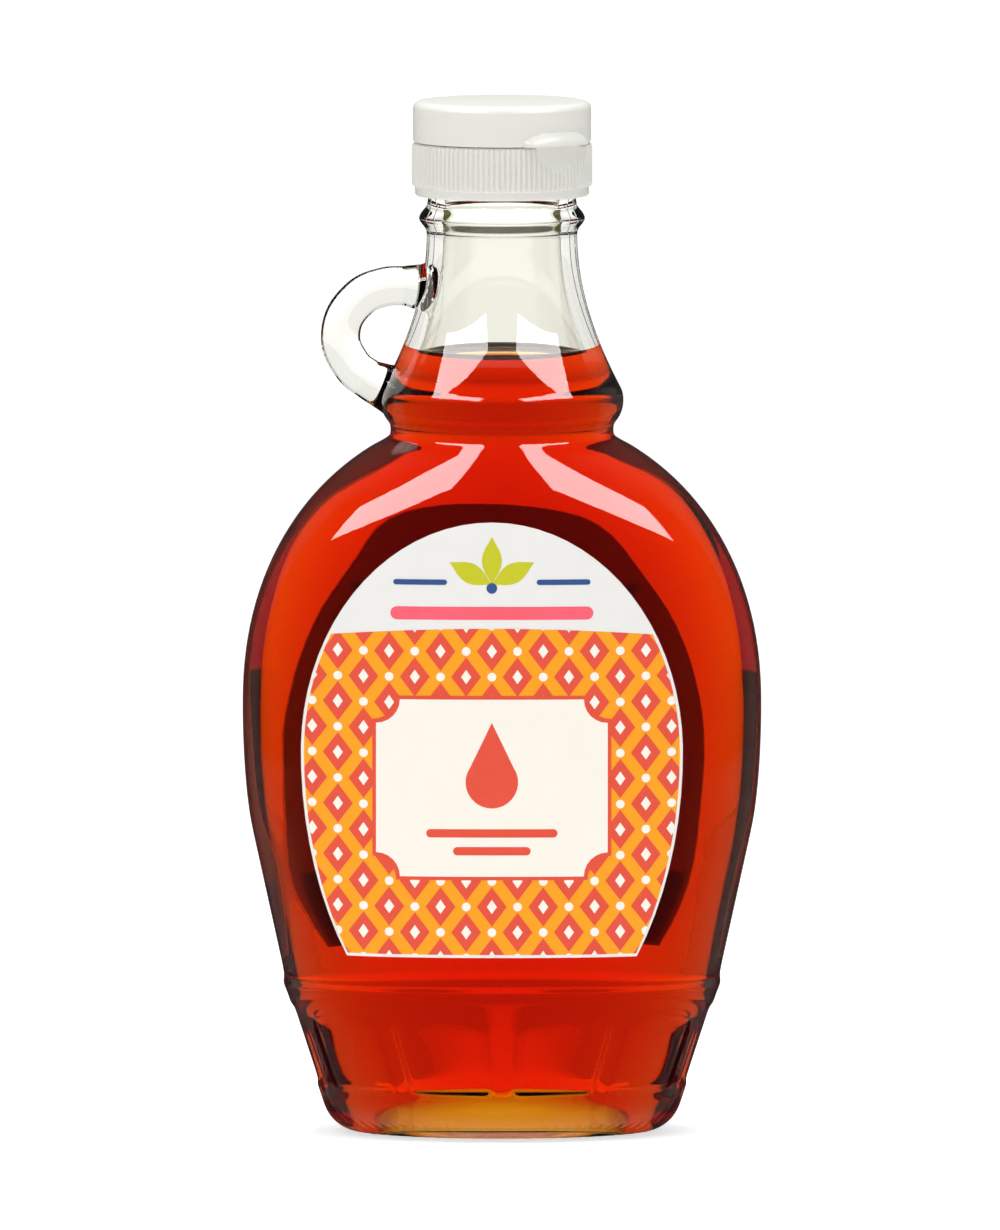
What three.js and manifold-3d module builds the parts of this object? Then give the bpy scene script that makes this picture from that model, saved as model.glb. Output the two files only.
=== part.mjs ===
// Maple syrup bottle: a flat oval glass flask with a ring handle at the neck, filled with syrup,
// a paper label on each face and a white flip-top cap. Millimetres, +Z up, front towards -Y,
// handle towards -X. The origin is the centre of the foot.
import * as THREE from "three";
import { mergeVertices } from "three/addons/utils/BufferGeometryUtils.js";
import Module from "manifold-3d";

const wasm = await Module();
wasm.setup();

// Foot and base of the flask. Pairs give the half width and the half depth.
const FOOT = [23.8, 14]; // flat of the foot, out to where the heel starts to round
const BEARING_WIDTH = 4.5; // flat ring that the flask stands on
const PUSH_UP = 1.4; // hollow of the underside
const HEEL_RADIUS = 6.5;
const LEDGE = [36.4, 21.5]; // top of the base, under the bead
const LEDGE_Z = 24.2;
const BEAD_STAND_OUT = 0.4; // bead round the top of the base
const BEAD_HEIGHT = 3.2;

// Body
const TAPER_TOP = [42.3, 22.25]; // the sides lean out up to here
const TAPER_TOP_Z = 52.5;
const BODY = [43.65, 22.4]; // largest section
const WIDEST_Z = 73;
const SHOULDER_RISE = 48.4; // height of the half oval that rounds the shoulder
const SHOULDER_SQUARENESS = 2.1;
const SHOULDER_TOP_Z = 115.8;
const FRONT_FLAT_TOP_Z = 96; // above this the front curves back to the waist
const FRONT_CURVE_POWER = 2.2;
const BODY_SQUARENESS = 2.4; // exponent of the oval: 2 is an ellipse, more is squarer

// Neck
const WAIST_RADIUS = 18.75;
const WAIST_BOTTOM_Z = 117.6;
const WAIST_TOP_Z = 119.4;
const COLLAR_RADIUS = 20.45; // bulge above the waist
const COLLAR_Z = 123.4;
const FLARE_RADIUS = 19.75; // the neck flares from the collar up to the straight neck
const FLARE_Z = 125.9;
const FLARE_BEND_Z = 139.4;
const NECK_RADIUS = 12.65;
const STRAIGHT_NECK_Z = 151;
const NECK_BEAD_RADIUS = 13.95;
const NECK_BEAD_Z = 154;
const NECK_BEAD_HALF_HEIGHT = 2.2;
const NECK_BEAD_NOSE = 0.4;
const FINISH_RADIUS = 12.4; // part of the neck inside the cap
const MOUTH_Z = 164.4;

// Inside of the glass
const BODY_WALL = 2.9;
const NECK_WALL = 2.85;
const COLLAR_WALL = 3.4;
const FLOOR_Z = 5.4;
const INNER_FOOT_INSET = 1.4;
const INNER_HEEL_RADIUS = 5.5;
const INNER_SHOULDER_TOP_Z = 114.6;
const MOUTH_RADIUS = 9.5;

// Panels round the base
const PANEL_COUNT = 10;
const PANEL_WIDTH = 13.4;
const PANEL_BOTTOM_Z = 8.2;
const PANEL_SIDE_TOP_Z = 20;
const PANEL_ARCH_RISE = 1.8;
const PANEL_DEPTH = 0.4;

// Ring handle, as stations (x, z) along its middle
const HANDLE_STATIONS = [
  [-11.4, 142], [-16, 142.6], [-19.6, 142.5], [-24.1, 140.5],
  [-27.1, 134.5], [-25, 129], [-20.9, 126.2], [-16, 124.6],
];
const HANDLE_WIDTH = 6.8; // across, in the plane of the ring
const HANDLE_DEPTH = 6.4; // front to back

// Syrup
const SYRUP_LEVEL_Z = 130.1;
const SYRUP_GAP = 0.3;

// Labels: half an ellipse above, part of a taller one below, cut straight at the bottom
const LABEL_FRONT_HALF_WIDTH = 32;
const LABEL_BACK_HALF_WIDTH = 28.7; // the syrup shows it wider from the front
const LABEL_WIDEST_Z = 65.6;
const LABEL_TOP_Z = 104.6;
const LABEL_BOTTOM_Z = 31.4;
const LABEL_LOWER_REACH = 52.5; // height of the lower half ellipse before the cut
const LABEL_THICKNESS = 0.15;
const LABEL_GAP = 0.2;
const LABEL_FRONT_SHIFT = -1.7; // the front label sits a little towards the handle
const LABEL_BACK_SHIFT = -0.8;

// Cap
const CAP_RADIUS = 15.15; // over the ribs
const RIB_COUNT = 104;
const RIB_DEPTH = 0.32;
const SKIRT_BOTTOM_Z = 157.9;
const RIBS_BOTTOM_Z = 159.4;
const SKIRT_TOP_Z = 166.8;
const SKIRT_BAND_RADIUS = 14.6; // plain band under the ribs
const CAP_BORE_GAP = 0.35; // between the skirt and the glass inside it
const LID_GAP = 0.35; // seam between skirt and lid
const LID_RADIUS = 14.95;
const LID_TOP_Z = 174;
const LID_EDGE_RADIUS = 1.3;
const LID_DOME = 0.25;
const THUMB_AZIMUTH = 42; // degrees from the front towards +X
const THUMB_CUT = 1.35; // the flat for the thumb leans in by this much at the top of the skirt
const THUMB_DROP = 5;
const LIP = { halfWidth: 6.8, reach: 1.9, height: 2.7 }; // lip of the lid over the thumb flat
const LIP_CENTRE_RADIUS = 13.9;
const HINGE_AZIMUTH = THUMB_AZIMUTH + 180;
const HINGE_STRAP = { width: 8.4, thickness: 0.8, drop: 2.4, rise: 2.2 };
const HINGE_GAP = 0.35;

// Fineness of the faceted surfaces
const OVAL_SIDES = 48;
const SYRUP_SIDES = 36;
const CAP_SIDES = 56;
const CURVE_STEPS = 3;
const SHOULDER_STEPS = 9;
const INNER_SHOULDER_STEPS = 6;
const FLARE_STEPS = 7;
const INNER_FLARE_STEPS = 4;
const FLARE_SEARCH_STEPS = 400;
const HANDLE_STEPS = 20;
const HANDLE_SIDES = 12;
const PANEL_ARCH_STEPS = 4;
const LIP_SIDES = 16;
const LABEL_COLUMNS = 10;
const LABEL_ROWS = 14;

const FRONT = 1; // second member of a pair
const { degToRad, smoothstep, lerp } = THREE.MathUtils;

// Closed body for joining and cutting
function solid(geometry) {
  const bare = geometry.index ? geometry.toNonIndexed() : geometry.clone();
  bare.deleteAttribute("normal");
  bare.deleteAttribute("uv");
  const welded = mergeVertices(bare, 1e-4);
  const corners = welded.index.array;
  const triangles = [];
  for (let i = 0; i < corners.length; i += 3) {
    const [a, b, c] = corners.slice(i, i + 3);
    if (a !== b && b !== c && c !== a) triangles.push(a, b, c);
  }
  return new wasm.Manifold(new wasm.Mesh({
    numProp: 3,
    vertProperties: new Float32Array(welded.attributes.position.array),
    triVerts: new Uint32Array(triangles),
  }));
}

function geometryOf(body) {
  const mesh = body.getMesh();
  const geometry = new THREE.BufferGeometry();
  geometry.setAttribute("position", new THREE.BufferAttribute(mesh.vertProperties, mesh.numProp));
  geometry.setIndex(Array.from(mesh.triVerts));
  return mergeVertices(geometry, 1e-5);
}

// Turned solid from outline points (radius, height) that start and end on the axis
function turned(points, sides) {
  return solid(new THREE.LatheGeometry(points, sides).rotateX(Math.PI / 2));
}

const at = (radius, z) => new THREE.Vector2(radius, z);

// How far the oval at a height is squared: an ellipse at the foot, a circle in the neck
function squarenessAt(z) {
  const fromFoot = smoothstep(z, 0, LEDGE_Z);
  const fromNeck = 1 - smoothstep(z, FRONT_FLAT_TOP_Z, WAIST_BOTTOM_Z);
  return lerp(2, BODY_SQUARENESS, Math.min(fromFoot, fromNeck));
}

// Turned form pressed oval: its width follows one outline, its depth another with as many points
function pressed([widths, depths], sides) {
  const form = new THREE.LatheGeometry(widths, sides);
  const position = form.attributes.position;
  for (let i = 0; i < position.count; i += 1) {
    const ring = i % widths.length;
    const turn = Math.floor(i / widths.length) * (2 * Math.PI / sides);
    const z = lerp(widths[ring].y, depths[ring].y, Math.sin(turn) ** 2);
    const power = 2 / squarenessAt(z);
    const across = Math.sign(Math.cos(turn)) * Math.abs(Math.cos(turn)) ** power;
    const along = Math.sign(Math.sin(turn)) * Math.abs(Math.sin(turn)) ** power;
    position.setXYZ(i, widths[ring].x * across, depths[ring].x * along, z);
  }
  return solid(form);
}

// Lean from the vertical of a straight side that leaves a round heel and ends at a point
function leanFrom(centre, radius, end) {
  const reach = end.clone().sub(centre);
  return Math.atan2(reach.x, reach.y) - Math.asin(radius / reach.length());
}

const heelCentre = (k) => at(FOOT[k], HEEL_RADIUS);
const baseLean = (k) => leanFrom(heelCentre(k), HEEL_RADIUS, at(LEDGE[k], LEDGE_Z));

// Half width (k 0) or half depth (k 1) of the body over its shoulder
function shoulderAt(k, z, inset) {
  if (k === FRONT) {
    const back = Math.max(0, (z - FRONT_FLAT_TOP_Z) / (WAIST_BOTTOM_Z - FRONT_FLAT_TOP_Z));
    return BODY[k] - inset - (BODY[k] - WAIST_RADIUS) * back ** FRONT_CURVE_POWER;
  }
  const rise = (z - WIDEST_Z) / (SHOULDER_RISE - inset);
  return (BODY[k] - inset) * (1 - rise ** SHOULDER_SQUARENESS) ** (1 / SHOULDER_SQUARENESS);
}

function shoulderPoints(k, topZ, inset, steps) {
  const points = [];
  for (let i = 1; i <= steps; i += 1) {
    const z = lerp(WIDEST_Z, topZ, Math.sin((i / steps) * Math.PI / 2));
    points.push(at(shoulderAt(k, z, inset), z));
  }
  return points;
}

// Outline of the outer glass, from the hollow underside up to the mouth
function outerOutline(k) {
  const base = new THREE.Path();
  base.moveTo(0, PUSH_UP);
  base.lineTo(FOOT[k] - BEARING_WIDTH, 0);
  base.lineTo(FOOT[k], 0);
  base.absarc(FOOT[k], HEEL_RADIUS, HEEL_RADIUS, -Math.PI / 2, -baseLean(k), false);
  base.lineTo(LEDGE[k], LEDGE_Z);
  const beadOut = LEDGE[k] + BEAD_STAND_OUT;
  base.quadraticCurveTo(beadOut, LEDGE_Z + BEAD_HEIGHT / 4, beadOut, LEDGE_Z + BEAD_HEIGHT);
  base.lineTo(TAPER_TOP[k], TAPER_TOP_Z);
  base.quadraticCurveTo(BODY[k], lerp(TAPER_TOP_Z, WIDEST_Z, 0.4), BODY[k], WIDEST_Z);
  const neck = new THREE.Path();
  neck.moveTo(WAIST_RADIUS, WAIST_BOTTOM_Z);
  neck.lineTo(WAIST_RADIUS, WAIST_TOP_Z);
  neck.quadraticCurveTo(COLLAR_RADIUS, lerp(WAIST_TOP_Z, COLLAR_Z, 0.4), COLLAR_RADIUS, COLLAR_Z);
  neck.quadraticCurveTo(COLLAR_RADIUS, lerp(COLLAR_Z, FLARE_Z, 0.6), FLARE_RADIUS, FLARE_Z);
  const flare = new THREE.QuadraticBezierCurve(
    at(FLARE_RADIUS, FLARE_Z), at(NECK_RADIUS, FLARE_BEND_Z), at(NECK_RADIUS, STRAIGHT_NECK_Z));
  const finish = [
    at(NECK_RADIUS, NECK_BEAD_Z - NECK_BEAD_HALF_HEIGHT),
    at(NECK_BEAD_RADIUS, NECK_BEAD_Z - NECK_BEAD_NOSE),
    at(NECK_BEAD_RADIUS, NECK_BEAD_Z + NECK_BEAD_NOSE),
    at(FINISH_RADIUS, NECK_BEAD_Z + NECK_BEAD_HALF_HEIGHT),
    at(FINISH_RADIUS, MOUTH_Z),
    at(0, MOUTH_Z),
  ];
  return [
    ...base.getPoints(CURVE_STEPS), ...shoulderPoints(k, SHOULDER_TOP_Z, 0, SHOULDER_STEPS),
    ...neck.getPoints(CURVE_STEPS), ...flare.getPoints(FLARE_STEPS).slice(1), ...finish,
  ];
}

// Outline of the inside of the glass up to a height in the neck, drawn in by a clearance
function innerOutline(k, clearance, endPoints) {
  const wall = BODY_WALL + clearance;
  const heel = at(FOOT[k] - INNER_FOOT_INSET, FLOOR_Z + INNER_HEEL_RADIUS);
  const heelRadius = INNER_HEEL_RADIUS - clearance;
  const ledge = at(LEDGE[k] - wall, LEDGE_Z);
  const lower = new THREE.Path();
  lower.moveTo(0, FLOOR_Z + clearance);
  lower.lineTo(heel.x, heel.y - heelRadius);
  lower.absarc(heel.x, heel.y, heelRadius, -Math.PI / 2, -leanFrom(heel, heelRadius, ledge), false);
  lower.lineTo(ledge.x, ledge.y);
  lower.lineTo(TAPER_TOP[k] - wall, TAPER_TOP_Z);
  lower.quadraticCurveTo(BODY[k] - wall, lerp(TAPER_TOP_Z, WIDEST_Z, 0.4), BODY[k] - wall, WIDEST_Z);
  const collar = [
    at(WAIST_RADIUS - NECK_WALL - clearance, WAIST_TOP_Z),
    at(COLLAR_RADIUS - COLLAR_WALL - clearance, COLLAR_Z),
  ];
  return [
    ...lower.getPoints(CURVE_STEPS), ...shoulderPoints(k, INNER_SHOULDER_TOP_Z, wall, INNER_SHOULDER_STEPS),
    ...collar, ...endPoints,
  ];
}

const innerFlare = new THREE.QuadraticBezierCurve(
  at(FLARE_RADIUS - NECK_WALL, FLARE_Z),
  at(NECK_RADIUS - NECK_WALL, FLARE_BEND_Z),
  at(NECK_RADIUS - NECK_WALL, STRAIGHT_NECK_Z));

// Radius of the inside of the neck at a height, in its flare
function innerFlareRadius(z) {
  return innerFlare.getPoints(FLARE_SEARCH_STEPS).find((point) => point.y >= z).x;
}

const outerOutlines = [outerOutline(0), outerOutline(1)];

// Half width or half depth of the finished body at a height between the base and the waist
function bodyAt(k, z) {
  const outline = outerOutlines[k];
  const above = outline.findIndex((point, i) => i > 0 && point.y >= z && outline[i - 1].y < z);
  const [low, high] = [outline[above - 1], outline[above]];
  return lerp(low.x, high.x, (z - low.y) / (high.y - low.y));
}

// Arched panels sunk into the base, spaced evenly along its oval
function basePanels() {
  const bands = [0, 1].map((k) => {
    const half = (z) => LEDGE[k] - PANEL_DEPTH - (LEDGE_Z - z) * Math.tan(baseLean(k));
    const [low, high] = [PANEL_BOTTOM_Z / 2, LEDGE_Z];
    return [at(0, low), at(half(low), low), at(half(high), high), at(0, high)];
  });
  const core = pressed(bands, OVAL_SIDES);
  const arch = new THREE.Shape();
  const halfWidth = PANEL_WIDTH / 2;
  const archRadius = (halfWidth ** 2 + PANEL_ARCH_RISE ** 2) / (2 * PANEL_ARCH_RISE);
  const archAngle = Math.asin(halfWidth / archRadius);
  arch.moveTo(-halfWidth, PANEL_BOTTOM_Z);
  arch.lineTo(halfWidth, PANEL_BOTTOM_Z);
  arch.absarc(0, PANEL_SIDE_TOP_Z + PANEL_ARCH_RISE - archRadius, archRadius,
    Math.PI / 2 - archAngle, Math.PI / 2 + archAngle, false);
  const middleZ = (PANEL_BOTTOM_Z + PANEL_SIDE_TOP_Z) / 2;
  const half = [0, 1].map((k) => LEDGE[k] - (LEDGE_Z - middleZ) * Math.tan(baseLean(k)));
  const oval = new THREE.EllipseCurve(0, 0, half[0], half[1], -Math.PI / 2, 1.5 * Math.PI);
  const cuts = [];
  for (let i = 0; i < PANEL_COUNT; i += 1) {
    const along = (i + 0.5) / PANEL_COUNT;
    const place = oval.getPointAt(along);
    const tangent = oval.getTangentAt(along);
    const sunk = new THREE.ExtrudeGeometry(arch, { depth: LEDGE[FRONT], curveSegments: PANEL_ARCH_STEPS, bevelEnabled: false });
    sunk.translate(0, 0, -LEDGE[FRONT] / 2).rotateX(Math.PI / 2);
    sunk.rotateZ(Math.atan2(tangent.y, tangent.x)).translate(place.x, place.y, 0);
    cuts.push(solid(sunk).subtract(core));
  }
  return wasm.Manifold.union(cuts);
}

function ringHandle() {
  const middle = new THREE.CatmullRomCurve3(HANDLE_STATIONS.map(([x, z]) => new THREE.Vector3(x, 0, z)));
  const section = new THREE.Shape(
    new THREE.EllipseCurve(0, 0, HANDLE_DEPTH / 2, HANDLE_WIDTH / 2).getPoints(HANDLE_SIDES));
  return solid(new THREE.ExtrudeGeometry(section, { steps: HANDLE_STEPS, extrudePath: middle }));
}

function bottleGlass() {
  const mouth = [
    at(MOUTH_RADIUS, MOUTH_Z + CAP_BORE_GAP),
    at(0, MOUTH_Z + CAP_BORE_GAP),
  ];
  const neckPoints = [...innerFlare.getPoints(INNER_FLARE_STEPS), ...mouth];
  const hollow = pressed([innerOutline(0, 0, neckPoints), innerOutline(1, 0, neckPoints)], OVAL_SIDES);
  return pressed(outerOutlines, OVAL_SIDES).add(ringHandle()).subtract(basePanels()).subtract(hollow);
}

function syrupFill() {
  const surface = [
    at(innerFlareRadius(FLARE_Z) - SYRUP_GAP, FLARE_Z),
    at(innerFlareRadius(SYRUP_LEVEL_Z) - SYRUP_GAP, SYRUP_LEVEL_Z),
    at(0, SYRUP_LEVEL_Z),
  ];
  return pressed([innerOutline(0, SYRUP_GAP, surface), innerOutline(1, SYRUP_GAP, surface)], SYRUP_SIDES);
}

// Paper label that follows the front of the body
function paperLabel(halfWidth, shift) {
  const lowest = -Math.asin((LABEL_WIDEST_Z - LABEL_BOTTOM_Z) / LABEL_LOWER_REACH);
  const sheetPoint = (row, column, lift) => {
    const angle = lerp(lowest, Math.PI / 2, row / LABEL_ROWS);
    const reach = angle > 0 ? LABEL_TOP_Z - LABEL_WIDEST_Z : LABEL_LOWER_REACH;
    const z = LABEL_WIDEST_Z + reach * Math.sin(angle);
    const x = shift + halfWidth * Math.cos(angle) * lerp(-1, 1, column / LABEL_COLUMNS);
    const power = squarenessAt(z);
    const front = bodyAt(FRONT, z) * (1 - (Math.abs(x) / bodyAt(0, z)) ** power) ** (1 / power);
    return [x, -front - LABEL_GAP - lift, z];
  };
  const corners = [];
  const quad = (a, b, c, d) => corners.push(...a, ...b, ...c, ...a, ...c, ...d);
  const strip = (first, second) => {
    for (let i = 0; i + 1 < first.length; i += 1) quad(first[i], first[i + 1], second[i + 1], second[i]);
  };
  const line = (count, place) => Array.from({ length: count + 1 }, (_, i) => place(i));
  for (let row = 0; row < LABEL_ROWS; row += 1) {
    strip(line(LABEL_COLUMNS, (c) => sheetPoint(row, c, LABEL_THICKNESS)),
      line(LABEL_COLUMNS, (c) => sheetPoint(row + 1, c, LABEL_THICKNESS)));
    strip(line(LABEL_COLUMNS, (c) => sheetPoint(row + 1, c, 0)),
      line(LABEL_COLUMNS, (c) => sheetPoint(row, c, 0)));
  }
  strip(line(LABEL_COLUMNS, (c) => sheetPoint(0, c, 0)),
    line(LABEL_COLUMNS, (c) => sheetPoint(0, c, LABEL_THICKNESS)));
  strip(line(LABEL_ROWS, (r) => sheetPoint(r, LABEL_COLUMNS, 0)),
    line(LABEL_ROWS, (r) => sheetPoint(r, LABEL_COLUMNS, LABEL_THICKNESS)));
  strip(line(LABEL_ROWS, (r) => sheetPoint(r, 0, LABEL_THICKNESS)),
    line(LABEL_ROWS, (r) => sheetPoint(r, 0, 0)));
  const sheet = new THREE.BufferGeometry();
  sheet.setAttribute("position", new THREE.Float32BufferAttribute(corners, 3));
  return solid(sheet);
}

// Box whose middle stands on the cap's side at an azimuth from the front, measured out to its face
function capBlock(azimuth, width, faceRadius, thickness, lowZ, highZ) {
  const block = new THREE.BoxGeometry(width, thickness, highZ - lowZ);
  block.translate(0, thickness / 2 - faceRadius, (lowZ + highZ) / 2);
  return solid(block.rotateZ(degToRad(azimuth)));
}

// Space round the strap of the hinge, open to the outside
function hingeSpace(lowZ, highZ) {
  const inner = LID_RADIUS - HINGE_STRAP.thickness - HINGE_GAP;
  return capBlock(HINGE_AZIMUTH, HINGE_STRAP.width + 2 * HINGE_GAP, CAP_RADIUS * 2, CAP_RADIUS * 2 - inner,
    lowZ, highZ);
}

function capSkirt() {
  const ribs = new THREE.Shape();
  for (let i = 0; i < RIB_COUNT; i += 1) {
    const ridge = (i / RIB_COUNT) * 2 * Math.PI;
    const groove = ((i + 0.5) / RIB_COUNT) * 2 * Math.PI;
    const valley = CAP_RADIUS - RIB_DEPTH;
    ribs[i === 0 ? "moveTo" : "lineTo"](CAP_RADIUS * Math.cos(ridge), CAP_RADIUS * Math.sin(ridge));
    ribs.lineTo(valley * Math.cos(groove), valley * Math.sin(groove));
  }
  const ribbed = new THREE.ExtrudeGeometry(ribs, { depth: SKIRT_TOP_Z - RIBS_BOTTOM_Z, bevelEnabled: false });
  const band = turned([
    at(0, SKIRT_BOTTOM_Z), at(SKIRT_BAND_RADIUS, SKIRT_BOTTOM_Z),
    at(SKIRT_BAND_RADIUS, RIBS_BOTTOM_Z + RIB_DEPTH), at(0, RIBS_BOTTOM_Z + RIB_DEPTH),
  ], CAP_SIDES);
  const bore = turned([
    at(0, SKIRT_BOTTOM_Z - CAP_BORE_GAP), at(FINISH_RADIUS + CAP_BORE_GAP, SKIRT_BOTTOM_Z - CAP_BORE_GAP),
    at(FINISH_RADIUS + CAP_BORE_GAP, MOUTH_Z + CAP_BORE_GAP), at(0, MOUTH_Z + CAP_BORE_GAP),
  ], OVAL_SIDES);
  const flat = new THREE.BoxGeometry(2 * CAP_RADIUS, CAP_RADIUS, 4 * THUMB_DROP);
  flat.translate(0, -CAP_RADIUS / 2, 0).rotateX(-Math.atan2(THUMB_CUT, THUMB_DROP));
  flat.translate(0, -CAP_RADIUS, SKIRT_TOP_Z - THUMB_DROP).rotateZ(degToRad(THUMB_AZIMUTH));
  return solid(ribbed.translate(0, 0, RIBS_BOTTOM_Z)).add(band).subtract(bore).subtract(solid(flat))
    .subtract(hingeSpace(SKIRT_TOP_Z - HINGE_STRAP.drop - HINGE_GAP, SKIRT_TOP_Z + LID_GAP));
}

function capLid() {
  const bottom = SKIRT_TOP_Z + LID_GAP;
  const side = new THREE.Path();
  side.moveTo(0, bottom);
  side.lineTo(LID_RADIUS, bottom);
  side.lineTo(LID_RADIUS, LID_TOP_Z - LID_DOME - LID_EDGE_RADIUS);
  side.absarc(LID_RADIUS - LID_EDGE_RADIUS, LID_TOP_Z - LID_DOME - LID_EDGE_RADIUS, LID_EDGE_RADIUS,
    0, Math.PI / 2, false);
  side.lineTo(0, LID_TOP_Z);
  const lip = new THREE.SphereGeometry(1, LIP_SIDES, LIP_SIDES / 2).rotateX(Math.PI / 2);
  lip.scale(LIP.halfWidth, LIP.reach, LIP.height).translate(0, -LIP_CENTRE_RADIUS, bottom);
  const strap = capBlock(HINGE_AZIMUTH, HINGE_STRAP.width, LID_RADIUS, HINGE_STRAP.thickness,
    SKIRT_TOP_Z - HINGE_STRAP.drop, bottom + HINGE_STRAP.rise);
  return turned(side.getPoints(CURVE_STEPS), CAP_SIDES)
    .add(solid(lip.rotateZ(degToRad(THUMB_AZIMUTH))).trimByPlane([0, 0, 1], bottom))
    .add(strap);
}

function node(name, body, color, roughness, metalness = 0) {
  const material = new THREE.MeshStandardMaterial({ color, roughness, metalness });
  const mesh = new THREE.Mesh(geometryOf(body), material);
  mesh.name = name;
  return mesh;
}

const bottle = new THREE.Group();
bottle.name = "maple_syrup_bottle";
bottle.add(node("bottle", bottleGlass(), 0xe6ebdf, 0.05));
bottle.add(node("syrup", syrupFill(), 0xb8340a, 0.1));
const frontSheet = paperLabel(LABEL_FRONT_HALF_WIDTH, LABEL_FRONT_SHIFT);
const backSheet = paperLabel(LABEL_BACK_HALF_WIDTH, -LABEL_BACK_SHIFT).rotate([0, 0, 180]);
bottle.add(node("label_front", frontSheet, 0xf4a228, 0.6));
bottle.add(node("label_back", backSheet, 0xf5f1e8, 0.6));
bottle.add(node("cap_skirt", capSkirt(), 0xe2e2da, 0.4));
bottle.add(node("cap_lid", capLid(), 0xe2e2da, 0.4));

export default bottle;
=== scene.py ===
# %% [markdown]
# # A maple syrup bottle in glass, paper and plastic
# A flat oval flask of clear glass, with a ring handle at its neck, full of red amber syrup. It has a paper
# label on each face and a white flip-top cap. The solids of the part give every size and place. This lesson
# makes the fine surfaces around them: pressed and blown glass, liquid, printed paper and moulded plastic.

# %% Load the solids
import math

import bpy
import numpy as np
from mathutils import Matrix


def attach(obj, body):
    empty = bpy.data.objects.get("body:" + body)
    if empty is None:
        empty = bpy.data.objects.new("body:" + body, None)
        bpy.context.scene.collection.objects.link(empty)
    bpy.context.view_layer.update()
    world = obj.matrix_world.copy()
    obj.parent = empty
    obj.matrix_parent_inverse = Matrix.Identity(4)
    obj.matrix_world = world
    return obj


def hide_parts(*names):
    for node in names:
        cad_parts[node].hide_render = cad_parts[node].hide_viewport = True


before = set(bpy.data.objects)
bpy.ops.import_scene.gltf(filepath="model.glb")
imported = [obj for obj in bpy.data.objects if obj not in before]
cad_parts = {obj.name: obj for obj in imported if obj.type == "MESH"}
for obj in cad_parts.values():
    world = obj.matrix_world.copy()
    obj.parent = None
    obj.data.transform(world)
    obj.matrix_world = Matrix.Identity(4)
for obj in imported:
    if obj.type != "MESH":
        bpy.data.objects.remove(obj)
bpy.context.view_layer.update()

MM = 0.001
print("nodes:", sorted(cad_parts))

# %% [markdown]
# ## Small tools
# An operator works on whatever is selected, so each step first clears the selection and then picks what it
# needs by place. Colours are written as the hex values that a paint program shows, and one function turns
# them into the linear values that a shader adds and multiplies. Another one adds a node to a material.

# %% Tools for selecting, colours and nodes
def take(piece):
    """Makes this piece the only selected and the active one."""
    bpy.ops.object.select_all(action="DESELECT")
    piece.select_set(True)
    bpy.context.view_layer.objects.active = piece


def pick(piece, kind, wanted):
    """Selects the faces or edges whose middle passes the test, and leaves the piece in edit mode."""
    take(piece)
    bpy.ops.object.mode_set(mode="EDIT")
    bpy.ops.mesh.select_mode(type=kind)
    bpy.ops.mesh.select_all(action="DESELECT")
    bpy.ops.object.mode_set(mode="OBJECT")
    points = piece.data.vertices
    for part in piece.data.polygons if kind == "FACE" else piece.data.edges:
        middle = sum((points[i].co for i in part.vertices), points[0].co * 0) / len(part.vertices)
        part.select = bool(wanted(part, middle / MM))
    bpy.ops.object.mode_set(mode="EDIT")


def edit_all(piece):
    """Opens a piece in edit mode with all of it selected."""
    take(piece)
    bpy.ops.object.mode_set(mode="EDIT")
    bpy.ops.mesh.select_mode(type="VERT")
    bpy.ops.mesh.select_all(action="SELECT")


def finish_with(piece, kind, **settings):
    """Adds a modifier with its settings and applies it."""
    take(piece)
    modifier = piece.modifiers.new(kind.lower(), kind)
    for name, value in settings.items():
        setattr(modifier, name, value)
    bpy.ops.object.modifier_apply(modifier=modifier.name)


def points_of(piece):
    """The piece's points as an array, in millimetres."""
    flat = np.empty(3 * len(piece.data.vertices))
    piece.data.vertices.foreach_get("co", flat)
    return flat.reshape(-1, 3) / MM


def move_points(piece, places):
    """Puts the piece's points at these places, in millimetres."""
    piece.data.vertices.foreach_set("co", (np.asarray(places) * MM).ravel())
    piece.data.update()


def linear(hex_code):
    """A shader colour from an sRGB hex value such as #D8A05C."""
    parts = [int(hex_code[i:i + 2], 16) / 255 for i in (1, 3, 5)]
    return [c / 12.92 if c <= 0.04045 else ((c + 0.055) / 1.055) ** 2.4 for c in parts] + [1.0]


def add_node(tree, kind, inputs=None, **settings):
    """Adds a node, sets its settings, and sets or links its inputs."""
    made = tree.nodes.new("ShaderNode" + kind)
    for name, value in settings.items():
        setattr(made, name, value)
    for socket, value in (inputs or {}).items():
        if isinstance(value, bpy.types.NodeSocket):
            tree.links.new(value, made.inputs[socket])
        else:
            made.inputs[socket].default_value = value
    return made


def new_material(name):
    """An empty material: returns it, its node tree and its output node."""
    material = bpy.data.materials.new(name)
    material.use_nodes = True
    material.node_tree.nodes.clear()
    return material, material.node_tree, add_node(material.node_tree, "OutputMaterial")


# %% [markdown]
# ## The camera
# The rings of the bottle sag by a few pixels in the photo, which gives a view from about five degrees above.
# Near and far rings keep one scale, so the lens is long and stands far off. The scale is the cap: 30 mm over
# its ribs. The frame is 1000 by 1230 pixels, so its width in millimetres follows.

# %% Camera
PHOTO_WIDTH, PHOTO_HEIGHT = 1000, 1230
PIXELS_PER_MM = 5.95
AXIS_COLUMN, FLOOR_ROW = 502, 1131
CAMERA_TILT = math.radians(5.2)
CAMERA_DISTANCE = 5.0
SENSOR_WIDTH = 36.0

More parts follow.
